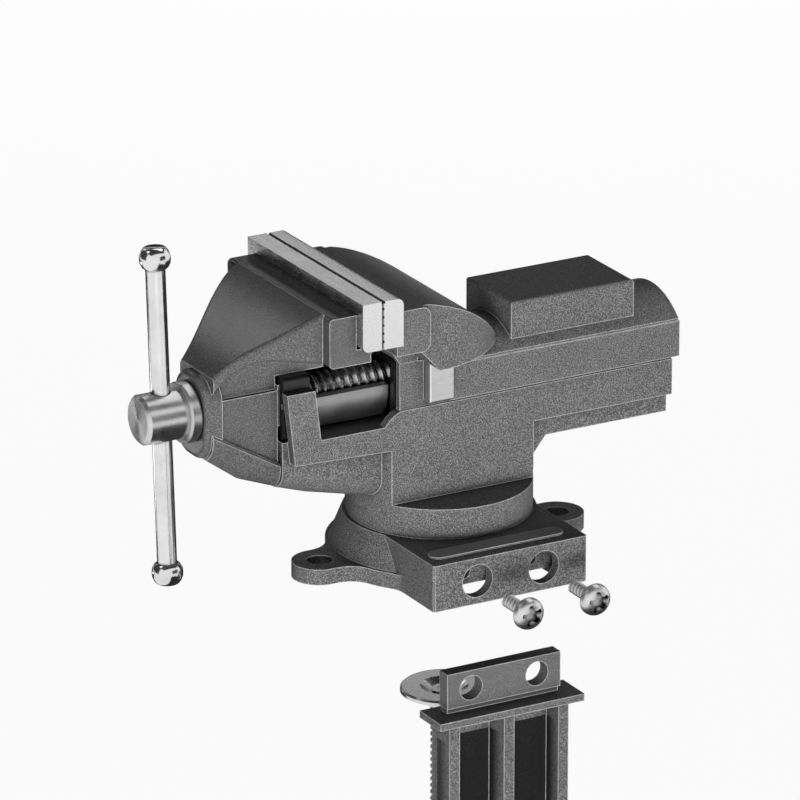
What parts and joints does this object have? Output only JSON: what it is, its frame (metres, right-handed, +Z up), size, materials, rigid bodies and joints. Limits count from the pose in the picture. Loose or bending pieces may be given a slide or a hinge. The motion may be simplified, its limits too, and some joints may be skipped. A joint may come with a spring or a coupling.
{
  "type": "clamp-on swivel bench vise",
  "caption": "Bench vise on a swivel base, with a sectioned jaw showing spindle and half nut, and a table clamp bracket with its screws drawn off.",
  "frame": {"origin": "on the swivel axis, in the plane of the base's underside, midway between the two lug holes", "axes": "+X along the spindle from the handle to the anvil, +Z up along the swivel axis, -Y the side of the table clamp bracket"},
  "size_m": [0.2478, 0.1574, 0.3271],
  "materials": {
    "body_paint": "dark grey fine-textured enamel on cast iron",
    "base_paint": "dark grey textured enamel on cast iron",
    "bracket_paint": "dark grey textured enamel on cast iron",
    "slide_steel": "dark blued steel slide",
    "jaw_steel": "satin ground steel",
    "key_steel": "pale ground steel",
    "nut_steel": "machined cast iron",
    "spindle_steel": "turned bright steel",
    "handle_chrome": "bright chrome plate",
    "zinc_steel": "bright zinc plate"
  },
  "bodies": {
    "base": {"swivel_base": "base_paint", "swivel_washer": "zinc_steel"},
    "body": {"vise_body": "body_paint", "swivel_bolt": "zinc_steel", "rear_jaw_plate": "jaw_steel", "rear_jaw_screws": "zinc_steel", "half_nut": "nut_steel", "guide_keys": "key_steel"},
    "moving_jaw": {"front_jaw": "body_paint", "slide_channel": "slide_steel", "slide_screws": "zinc_steel", "front_jaw_plate": "jaw_steel", "front_jaw_screws": "zinc_steel"},
    "spindle_set": {"spindle": "spindle_steel", "thrust_collar": "spindle_steel", "retaining_ring": "zinc_steel"},
    "handle": {"handle_bar": "handle_chrome", "upper_knob": "handle_chrome", "lower_knob": "handle_chrome"},
    "bracket": {"clamp_bracket": "bracket_paint"},
    "screws": {"mounting_screws": "zinc_steel"},
    "pad": {"pressure_pad": "zinc_steel"},
    "clamp_spindle": {"clamp_screw": "zinc_steel", "pad_retainer": "zinc_steel"},
    "clamp_handle": {"clamp_bar": "zinc_steel", "clamp_bar_ends": "zinc_steel"}
  },
  "joints": [
    {"name": "swivel", "type": "hinge", "parent": "base", "child": "body", "pos_m": [0, 0, 0.0206], "axis": [0, 0, 1], "continuous": true},
    {"name": "jaw_slide", "type": "slide", "parent": "body", "child": "moving_jaw", "axis": [-1, 0, 0], "range_m": [0, 0.08]},
    {"name": "spindle_turn", "type": "hinge", "parent": "moving_jaw", "child": "spindle_set", "pos_m": [0, 0, 0.085], "axis": [-1, 0, 0], "range_deg": [0, 7200.5]},
    {"name": "handle_slide", "type": "slide", "parent": "spindle_set", "child": "handle", "axis": [0, 0.0593, 0.9982], "range_m": [-0.052, 0.052]},
    {"name": "bracket_fit", "type": "slide", "parent": "base", "child": "bracket", "axis": [0, 0, 1], "range_m": [0, 0.05]},
    {"name": "screw_fit", "type": "slide", "parent": "base", "child": "screws", "axis": [0, 1, 0], "range_m": [0, 0.046]},
    {"name": "pad_feed", "type": "slide", "parent": "bracket", "child": "pad", "axis": [0, 0, -1], "range_m": [-0.006, 0.036]},
    {"name": "clamp_turn", "type": "hinge", "parent": "pad", "child": "clamp_spindle", "pos_m": [0, -0.005, -0.1], "axis": [0, 0, -1], "range_deg": [-720, 4320]},
    {"name": "bar_slide", "type": "slide", "parent": "clamp_spindle", "child": "clamp_handle", "axis": [1, 0, 0], "range_m": [-0.0235, 0.0235]}
  ],
  "couplings": [
    {"joint": "spindle_turn", "follows": "jaw_slide", "rad_per_m": 1570.8},
    {"joint": "pad_feed", "follows": "clamp_turn", "m_per_rad": 0.00047746}
  ]
}
